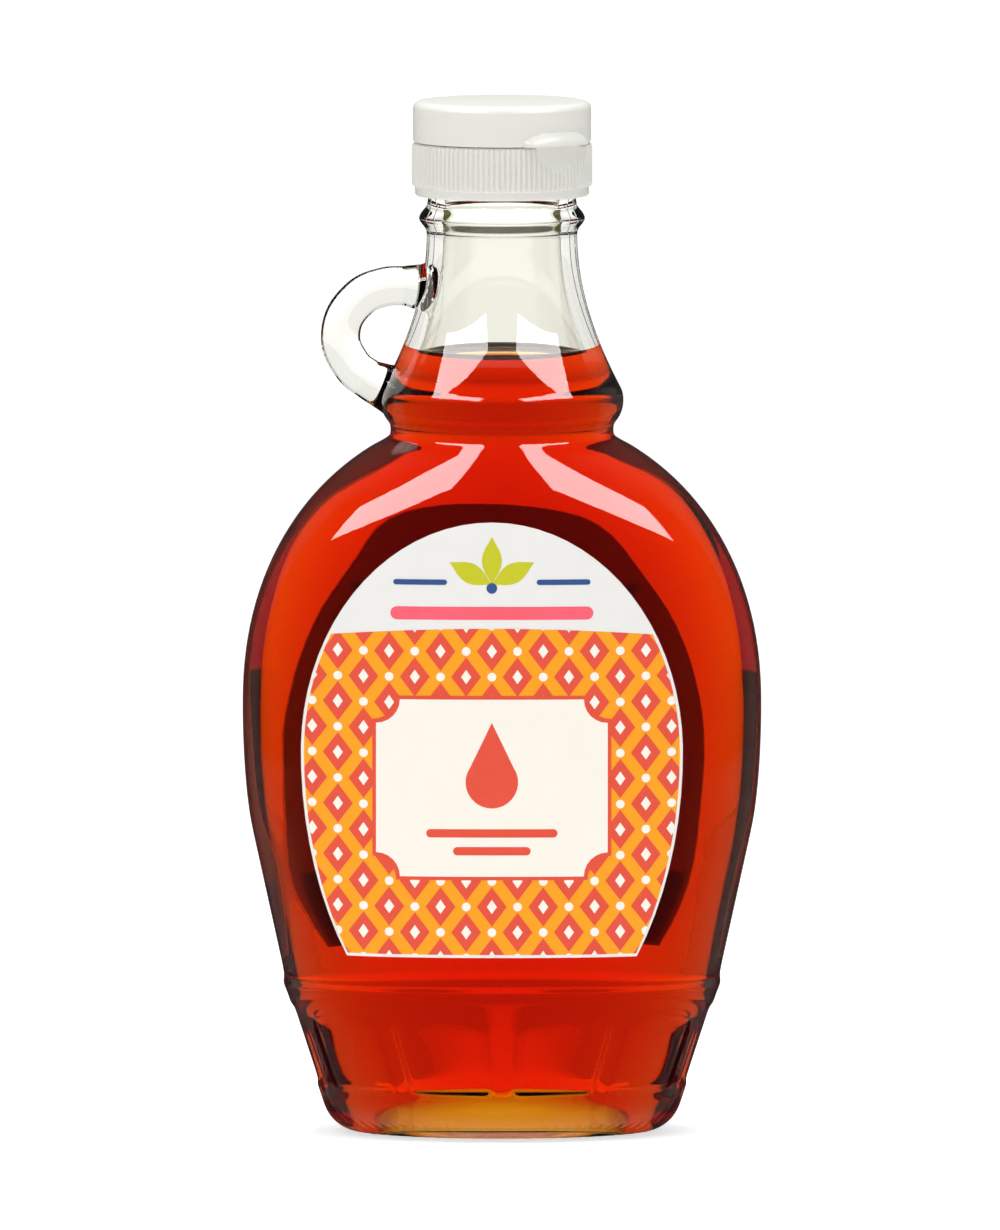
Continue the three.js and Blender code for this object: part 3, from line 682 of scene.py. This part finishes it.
def drape(piece, lift, side):
    """Slices a flat piece and lays it on the front (side 1) or the back (side -1) of the glass."""
    places = points_of(piece)
    edit_all(piece)
    for axis in (0, 2):
        cut = [0, 0, 0]
        cut[axis] = 1
        for step in np.arange(places[:, axis].min() + SLICE, places[:, axis].max(), SLICE):
            bpy.ops.mesh.select_all(action="SELECT")
            bpy.ops.mesh.bisect(plane_co=[c * step * MM for c in cut], plane_no=cut)
    bpy.ops.object.mode_set(mode="OBJECT")
    x, y, z = points_of(piece).T
    move_points(piece, np.stack([side * x, side * (y - lift - front_of_glass(x, z)), z], axis=1))
    take(piece)
    bpy.ops.object.shade_smooth_by_angle(angle=math.radians(40))
    print(piece.name, len(piece.data.polygons), "faces")


# %% Paper
LABEL_WIDEST_Z, LABEL_BOTTOM_Z = 65.6, 31.4
LABEL_TOP_Z = {"label_front": 104.6, "label_back": 102.6}
LABEL_LOWER_REACH, LABEL_STEPS = 52.5, 28
LABEL_SHIFT = {"label_front": -1.7, "label_back": 0.8}
LABEL_HALF_WIDTH = {"label_front": 32.0, "label_back": 28.7}

# Lower and upper face of the paper and of each ink film, measured out from the glass
PAPER_FILM, FIRST_FILM, LATTICE_FILM, DOTS_FILM = (-0.08, 0.14), (0.10, 0.17), (0.12, 0.20), (0.16, 0.23)
TICKET_EDGE_FILM, TICKET_FILM, DROP_FILM, RULE_FILM = (0.12, 0.25), (0.16, 0.29), (0.24, 0.32), (0.13, 0.19)


def label_arc(label, inset, low_z, high_z, steps):
    """Points up the right side of the label between two heights, this far inside its edge."""
    half_width = LABEL_HALF_WIDTH[label] - inset
    upper = LABEL_TOP_Z[label] - LABEL_WIDEST_Z - inset
    turn = [math.asin((z - LABEL_WIDEST_Z) / (upper if z > LABEL_WIDEST_Z else LABEL_LOWER_REACH))
            for z in (low_z, high_z)]
    arc = [turn[0] + (turn[1] - turn[0]) * i / steps for i in range(steps + 1)]
    return [(half_width * math.cos(a),
             LABEL_WIDEST_Z + (upper if a > 0 else LABEL_LOWER_REACH) * math.sin(a)) for a in arc]


def mirrored(right, shift):
    """A closed outline from its right half, moved sideways."""
    return [(x + shift, z) for x, z in right] + [(shift - x, z) for x, z in right[::-1] if x > 1e-6]


def label_outline(label):
    right = label_arc(label, 0.0, LABEL_BOTTOM_Z, LABEL_TOP_Z[label], LABEL_STEPS)
    return mirrored(right, LABEL_SHIFT[label])


# %% Paper and ink materials
FIBRE, FIBRE_HEIGHT = 0.35 * MM, 0.01 * MM
MOTTLE = 3.0 * MM


def coated_paper(name, hex_low, hex_high, roughness, light_depth=0.0):
    """Coated label paper or an ink film on it: a satin skin over fine fibres, with a slight mottle.
    Light spreads this far inside a paper that is thin enough to glow against the light."""
    material, tree, output = new_material(name)
    place = add_node(tree, "TexCoord")
    mottle = add_node(tree, "TexNoise", {"Vector": place.outputs["Object"], "Scale": 1 / MOTTLE,
                                         "Detail": 3.0})
    tone = add_node(tree, "ValToRGB", {"Fac": mottle.outputs["Fac"]})
    tone.color_ramp.elements[0].color, tone.color_ramp.elements[1].color = linear(hex_low), linear(hex_high)
    fibre = add_node(tree, "TexNoise", {"Vector": place.outputs["Object"], "Scale": 1 / FIBRE,
                                        "Detail": 2.0})
    rough = add_node(tree, "Bump", {"Height": fibre.outputs["Fac"], "Distance": FIBRE_HEIGHT})
    surface = add_node(tree, "BsdfPrincipled", {
        "Base Color": tone.outputs["Color"], "Roughness": roughness, "Specular IOR Level": 0.3,
        "Subsurface Weight": float(light_depth > 0), "Subsurface Radius": (1.0, 1.0, 1.0),
        "Subsurface Scale": light_depth, "Normal": rough.outputs["Normal"]})
    tree.links.new(surface.outputs[0], output.inputs["Surface"])
    return material


papers = {
    "label_front": coated_paper("coated_label_paper_white", "#E6E5E2", "#EBEAE7", 0.5),
    "label_back": coated_paper("thin_label_paper_white", "#E6E5E2", "#EBEAE7", 0.5, 0.3 * MM),
}
inks = {
    "orange": coated_paper("offset_ink_orange", "#FA9C00", "#FAA408", 0.45),
    "coral": coated_paper("offset_ink_coral", "#E44A30", "#E8543C", 0.45),
    "pink": coated_paper("offset_ink_pink", "#F8586A", "#F96679", 0.45),
    "lime": coated_paper("offset_ink_lime", "#C4C410", "#CCCA20", 0.45),
    "cream": coated_paper("offset_ink_cream", "#F3ECE0", "#F6F0E6", 0.45),
    "blue": coated_paper("offset_ink_blue", "#2A4E8C", "#305694", 0.45),
}


# %% Lay the papers on the glass
def lay(name, shapes, film, material, label):
    """One paper or ink film of a label: drawn flat, draped, given its finish and set on the bottle."""
    low, high = film
    piece = flat_shapes(name, shapes, high - low)
    drape(piece, low, 1 if label == "label_front" else -1)
    piece.data.materials.append(material)
    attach(piece, "root")
    return piece


for label in ("label_front", "label_back"):
    sheet = lay(label.replace("label", "paper"), [label_outline(label)], PAPER_FILM, papers[label], label)
    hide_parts(label)

# %% [markdown]
# ## The print
# The front has a white field above and a warm patterned field below. The pattern is a plain lattice of
# lozenges with dots between, and a cream ticket in the middle carries a drop and two bars. A band, a sprig of
# leaves and a thin rule fill the top. The back has the same family of colours in a few plain bars.

# %% Simple shapes
def lozenge(x, z, width, height):
    return [(x + width / 2, z), (x, z + height / 2), (x - width / 2, z), (x, z - height / 2)]


def disc(x, z, radius, sides=20):
    return [(x + radius * math.cos(a), z + radius * math.sin(a))
            for a in (2 * math.pi * i / sides for i in range(sides))]


def bar(x, z, width, height):
    """A bar with round ends."""
    half, straight_half = height / 2, (width - height) / 2
    ends = [-math.pi / 2 + math.pi * i / 8 for i in range(9)]
    right = [(straight_half + half * math.cos(a), half * math.sin(a)) for a in ends]
    return [(x + u, z + v) for u, v in right] + [(x - u, z - v) for u, v in right]


def ticket(x, z, width, height, notch):
    """A rectangle whose corners are cut out as quarter circles."""
    shape = []
    for corner in range(4):
        a0 = math.pi / 2 * corner
        sx, sz = ((1, 1), (-1, 1), (-1, -1), (1, -1))[corner]
        turn = [a0 + math.pi * 1.5 - math.pi / 2 * i / 6 for i in range(7)]
        shape += [(x + sx * width / 2 + notch * math.cos(a), z + sz * height / 2 + notch * math.sin(a))
                  for a in turn]
    return shape


def leaf(x, z, length, width, turn):
    """A pointed oval leaf whose stalk end is at (x, z)."""
    sides = [i / 8 for i in range(9)]
    edge = [(t * length, -width / 2 * math.sin(math.pi * t) ** 1.2) for t in sides]
    edge += [(t * length, width / 2 * math.sin(math.pi * t) ** 1.2) for t in sides[-2:0:-1]]
    cos, sin = math.cos(math.radians(turn)), math.sin(math.radians(turn))
    return [(x + u * cos - v * sin, z + u * sin + v * cos) for u, v in edge]


def drop(x, z, radius, height):
    """A drop: a round belly that runs up to a point."""
    belly = [math.pi - 0.6 + (math.pi + 1.2) * i / 20 for i in range(21)]
    return [(x + radius * math.cos(a), z + radius * math.sin(a)) for a in belly] + [(x, z + height)]


# %% Films of the front print
FIELD_TOP_Z, FIELD_BOW, FIELD_MARGIN = 85.6, 1.2, 0.5
FIELD_BOTTOM_Z = LABEL_BOTTOM_Z + FIELD_MARGIN


def field(label, low_z, high_z, bow, inset):
    """The part of the label between two heights, with a bowed upper edge."""
    side = label_arc(label, inset, low_z, high_z, 18)
    edge = side[-1][0]
    arch = [(edge * (1 - i / 10), high_z + bow * (1 - (1 - i / 10) ** 2)) for i in range(1, 11)]
    return mirrored(side + arch, LABEL_SHIFT[label])


front = LABEL_SHIFT["label_front"]
lay("print_orange_field", [field("label_front", FIELD_BOTTOM_Z, FIELD_TOP_Z, FIELD_BOW, FIELD_MARGIN)],
    FIRST_FILM, inks["orange"], "label_front")

# %% Lattice, cut to the field
PITCH, LATTICE_ROWS, LATTICE_REACH = 8.6, 14, 4
LOZENGE, HEART, DOT_RADIUS = (5.0, 6.6), (1.7, 2.4), 0.75
LIMIT_INSET, LIMIT_DEPTH = 0.02, 4.0

lattice, hearts, dots = [], [], []
for row in range(LATTICE_ROWS):
    for column in range(-LATTICE_REACH, LATTICE_REACH + 1):
        x, z = front + PITCH * (column + 0.5 * (row % 2)), LABEL_BOTTOM_Z + PITCH * row / 2
        lattice.append(lozenge(x, z, *LOZENGE))
        hearts.append(lozenge(x, z, *HEART))
        dots.append(disc(x + PITCH / 2, z, DOT_RADIUS, 12))


def cut_to_field(name, shapes, film, material):
    """Lays a film whose flat shapes are first cut to the field by a Boolean."""
    low, high = film
    piece = flat_shapes(name, shapes, high - low)
    inside_field = field("label_front", FIELD_BOTTOM_Z, FIELD_TOP_Z, FIELD_BOW, FIELD_MARGIN + LIMIT_INSET)
    limit = flat_shapes("field_limit", [inside_field], LIMIT_DEPTH)
    move_points(limit, points_of(limit) + (0, LIMIT_DEPTH / 2, 0))
    finish_with(piece, "BOOLEAN", operation="INTERSECT", object=limit, solver="EXACT")
    bpy.data.objects.remove(limit)
    drape(piece, low, 1)
    piece.data.materials.append(material)
    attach(piece, "root")


cut_to_field("print_coral_lattice", lattice, LATTICE_FILM, inks["coral"])
cut_to_field("print_cream_dots", hearts + dots, DOTS_FILM, inks["cream"])

# %% Ticket, drop and bars
TICKET_SIZE, TICKET_NOTCH, TICKET_Z, FRAME_LINE = (40.0, 31.0), 4.0, 60.0, 0.6
DROP_Z, DROP_RADIUS, DROP_HEIGHT = 61.0, 4.4, 10.0
BARS, BAR_HEIGHT = ((52.4, 22), (49.4, 13)), 1.4

width, height = TICKET_SIZE
lay("print_ticket_edge", [ticket(front, TICKET_Z, width, height, TICKET_NOTCH)], TICKET_EDGE_FILM,
    inks["coral"], "label_front")
lay("print_ticket", [ticket(front, TICKET_Z, width - 2 * FRAME_LINE, height - 2 * FRAME_LINE, TICKET_NOTCH)],
    TICKET_FILM, inks["cream"], "label_front")
drop_and_bars = [drop(front, DROP_Z, DROP_RADIUS, DROP_HEIGHT)]
drop_and_bars += [bar(front, z, length, BAR_HEIGHT) for z, length in BARS]
lay("print_drop", drop_and_bars, DROP_FILM, inks["coral"], "label_front")

# %% Band, sprig and rule above the field
BAND_Z, BAND_LENGTH, BAND_HEIGHT = 89.4, 34, 2.2
SPRIG_Z, LEAF_LENGTH, LEAF_WIDTH, LEAF_TURNS = 94.2, 8.0, 3.4, (28, 90, 152)
RULE_Z, RULE_OFFSET, RULE_LENGTH, RULE_HEIGHT = 94.6, 12, 9, 0.9
BERRY_Z, BERRY_RADIUS = 93.6, 0.9

lay("print_pink_band", [bar(front, BAND_Z, BAND_LENGTH, BAND_HEIGHT)], FIRST_FILM, inks["pink"],
    "label_front")
lay("print_sprig", [leaf(front, SPRIG_Z, LEAF_LENGTH, LEAF_WIDTH, turn) for turn in LEAF_TURNS], FIRST_FILM,
    inks["lime"], "label_front")
rules = [bar(front + side * RULE_OFFSET, RULE_Z, RULE_LENGTH, RULE_HEIGHT) for side in (-1, 1)]
lay("print_rule", rules + [disc(front, BERRY_Z, BERRY_RADIUS)], RULE_FILM, inks["blue"], "label_front")

# %% Films of the back print
BACK_FIELD_TOP_Z = 44.0
BACK_BARS, BACK_BAR_TOP_Z, BACK_BAR_PITCH, BACK_BAR_HEIGHT = 8, 90, 4.6, 1.5
BACK_BAR_LENGTH, BACK_BAR_STEP = 40, 7

back = LABEL_SHIFT["label_back"]
lay("print_back_field", [field("label_back", FIELD_BOTTOM_Z, BACK_FIELD_TOP_Z, 0.0, FIELD_MARGIN)],
    FIRST_FILM, inks["orange"], "label_back")
back_bars = [bar(back, BACK_BAR_TOP_Z - BACK_BAR_PITCH * i, BACK_BAR_LENGTH - BACK_BAR_STEP * (i % 3),
                 BACK_BAR_HEIGHT) for i in range(BACK_BARS)]
lay("print_back_bars", back_bars, FIRST_FILM, inks["coral"], "label_back")

# %% [markdown]
# ## The cap
# The flip-top cap is moulded polypropylene, in a skirt and a lid on a strap hinge. The skirt is turned from
# its outline with four columns to a rib, and every second pair of columns is pulled in. A tilted plane cuts
# the flat for the thumb. The lid is turned too, and its lip is raised out of its own side so that it swells
# smoothly, as moulded plastic does.

# %% Skirt
CAP_RADIUS, RIB_COUNT, RIB_DEPTH = 15.15, 104, 0.36
SKIRT_BOTTOM_Z, RIBS_BOTTOM_Z, SKIRT_TOP_Z, BAND_RADIUS = 157.9, 159.4, 166.8, 14.6
CAP_BORE_GAP = 0.35
bore, ceiling = FINISH_RADIUS + CAP_BORE_GAP, MOUTH_Z + CAP_BORE_GAP
groove = CAP_RADIUS - RIB_DEPTH
skirt_outline = [
    (0, ceiling), (bore, ceiling), (bore, SKIRT_BOTTOM_Z + 0.2), (bore + 0.2, SKIRT_BOTTOM_Z),
    (BAND_RADIUS - 0.3, SKIRT_BOTTOM_Z), (BAND_RADIUS, SKIRT_BOTTOM_Z + 0.3),
    (BAND_RADIUS, RIBS_BOTTOM_Z - 0.1),
    (groove, RIBS_BOTTOM_Z + 0.05), (groove, RIBS_BOTTOM_Z + 0.4), (groove, SKIRT_TOP_Z - 0.9),
    (groove, SKIRT_TOP_Z - 0.35), (groove - 0.3, SKIRT_TOP_Z), (0, SKIRT_TOP_Z)]
rib_rows = {8: 1.0, 9: 1.0, 10: 0.7}

skirt = turned("cap_skirt_ribbed", skirt_outline, 4 * RIB_COUNT)
places = points_of(skirt).reshape(4 * RIB_COUNT, len(skirt_outline), 3)
for row, share in rib_rows.items():
    for quarter in (0, 1):
        places[quarter::4, row, :2] *= 1 + RIB_DEPTH * share / groove
move_points(skirt, places.reshape(-1, 3))
closed(skirt)
print("skirt:", len(skirt.data.polygons), "faces")

# %% Thumb flat and hinge recess
THUMB_AZIMUTH, THUMB_CUT, THUMB_DROP = 42.0, 1.35, 5.0
HINGE_AZIMUTH, HINGE_WIDTH, HINGE_THICKNESS = 222.0, 8.4, 0.8
HINGE_DROP, HINGE_RISE, HINGE_GAP, STRAP_SOFT = 2.4, 2.2, 0.35, 0.15
LID_RADIUS, LID_GAP = 14.95, 0.14


def facing(azimuth):
    """Unit step out from the axis; azimuth runs from the front (-Y) towards +X."""
    turn = math.radians(azimuth)
    return np.array([math.sin(turn), -math.cos(turn), 0.0])


out = facing(THUMB_AZIMUTH)
tilt = math.atan2(THUMB_CUT, THUMB_DROP)
edit_all(skirt)
bpy.ops.mesh.bisect(plane_co=(out * CAP_RADIUS + (0, 0, SKIRT_TOP_Z - THUMB_DROP)) * MM,
                    plane_no=out * math.cos(tilt) + (0, 0, math.sin(tilt)), use_fill=True, clear_outer=True)
bpy.ops.object.mode_set(mode="OBJECT")


def block(name, azimuth, face_radius, size, low_z, soft):
    """A block with softened edges, its outer face this far from the axis."""
    bpy.ops.object.select_all(action="DESELECT")
    middle = facing(azimuth) * (face_radius - size[1] / 2) + (0, 0, low_z + size[2] / 2)
    bpy.ops.mesh.primitive_cube_add(size=1, location=middle * MM, rotation=(0, 0, math.radians(azimuth)))
    made = bpy.context.object
    made.name = name
    made.scale = np.array(size) * MM
    bpy.ops.object.transform_apply(location=True, rotation=True, scale=True)
    if soft:
        finish_with(made, "BEVEL", width=soft * MM, segments=3)
    return made


recess = block("hinge_recess", HINGE_AZIMUTH, 2 * CAP_RADIUS, (
    HINGE_WIDTH + 2 * HINGE_GAP, CAP_RADIUS + HINGE_THICKNESS + HINGE_GAP + CAP_RADIUS - LID_RADIUS,
    2 * HINGE_DROP), SKIRT_TOP_Z - HINGE_DROP - HINGE_GAP, 0)
finish_with(skirt, "BOOLEAN", operation="DIFFERENCE", object=recess, solver="EXACT")
bpy.data.objects.remove(recess)
take(skirt)
bpy.ops.object.shade_smooth_by_angle(angle=math.radians(32))

# %% Lid
LID_TOP_Z, LID_EDGE_RADIUS, LID_DOME, LID_COLUMNS = 174.0, 1.3, 0.25, 192
LIP_HALF_WIDTH, LIP_REACH, LIP_HEIGHT, LIP_CENTRE = 6.8, 1.9, 2.7, 13.9
lid_bottom = SKIRT_TOP_Z + LID_GAP
edge_z = LID_TOP_Z - LID_DOME - LID_EDGE_RADIUS
lid_outline = [(0, lid_bottom), (LID_RADIUS - 0.6, lid_bottom), (LID_RADIUS - 0.2, lid_bottom)]
lid_outline += [(LID_RADIUS, lid_bottom + 0.2 + 0.35 * i) for i in range(12)]
lid_outline += [(LID_RADIUS, edge_z)] + [
    (LID_RADIUS - LID_EDGE_RADIUS + LID_EDGE_RADIUS * math.cos(a), edge_z + LID_EDGE_RADIUS * math.sin(a))
    for a in (math.pi / 2 * i / 8 for i in range(1, 9))]
rim = LID_RADIUS - LID_EDGE_RADIUS
lid_outline += [(rim * share, LID_TOP_Z - LID_DOME * share ** 2) for share in (0.9, 0.7, 0.45, 0.2, 0)]

lid = turned("cap_lid_smooth", lid_outline, LID_COLUMNS)
places = points_of(lid)
out, along_lip = facing(THUMB_AZIMUTH), facing(THUMB_AZIMUTH + 90)
for i, place_now in enumerate(places):
    side, height = place_now @ along_lip, place_now[2] - lid_bottom
    room = 1 - (side / LIP_HALF_WIDTH) ** 2 - (height / LIP_HEIGHT) ** 2
    if room > 0 and place_now @ out > LID_RADIUS / 2 and math.hypot(*place_now[:2]) > LID_RADIUS - 0.3:
        reach = LIP_CENTRE + LIP_REACH * math.sqrt(room)
        places[i] += out * max(0.0, reach - place_now @ out)
move_points(lid, places)
closed(lid)
strap_size = (HINGE_WIDTH, HINGE_THICKNESS, HINGE_DROP + LID_GAP + HINGE_RISE)
strap = block("strap", HINGE_AZIMUTH, LID_RADIUS, strap_size, SKIRT_TOP_Z - HINGE_DROP, STRAP_SOFT)
finish_with(lid, "BOOLEAN", operation="UNION", object=strap, solver="EXACT")
bpy.data.objects.remove(strap)
take(lid)
bpy.ops.object.shade_smooth_by_angle(angle=math.radians(32))
print("lid:", len(lid.data.polygons), "faces")

# %% [markdown]
# Polypropylene comes out of the mould with a satin skin. It is a warm white, a little see-through at the
# edges, with very fine grain from the mould and faint clouds where the plastic flowed.

# %% Cap material
CAP_GRAIN, CAP_GRAIN_HEIGHT, CAP_CLOUD = 0.4 * MM, 0.012 * MM, 9.0 * MM

moulded, tree, output = new_material("polypropylene_moulded_warm_white")
place = add_node(tree, "TexCoord")
cloud = add_node(tree, "TexNoise", {"Vector": place.outputs["Object"], "Scale": 1 / CAP_CLOUD,
                                    "Detail": 2.0})
tone = add_node(tree, "ValToRGB", {"Fac": cloud.outputs["Fac"]})
tone.color_ramp.elements[0].color, tone.color_ramp.elements[1].color = linear("#DDDDD5"), linear("#E3E3DC")
grain = add_node(tree, "TexNoise", {"Vector": place.outputs["Object"], "Scale": 1 / CAP_GRAIN,
                                    "Detail": 2.0})
skin = add_node(tree, "Bump", {"Height": grain.outputs["Fac"], "Distance": CAP_GRAIN_HEIGHT})
surface = add_node(tree, "BsdfPrincipled", {
    "Base Color": tone.outputs["Color"], "Roughness": 0.33, "IOR": 1.49, "Normal": skin.outputs["Normal"]})
tree.links.new(surface.outputs[0], output.inputs["Surface"])
for piece, cad_node in ((skirt, "cap_skirt"), (lid, "cap_lid")):
    piece.data.materials.append(moulded)
    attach(piece, "root")
    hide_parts(cad_node)
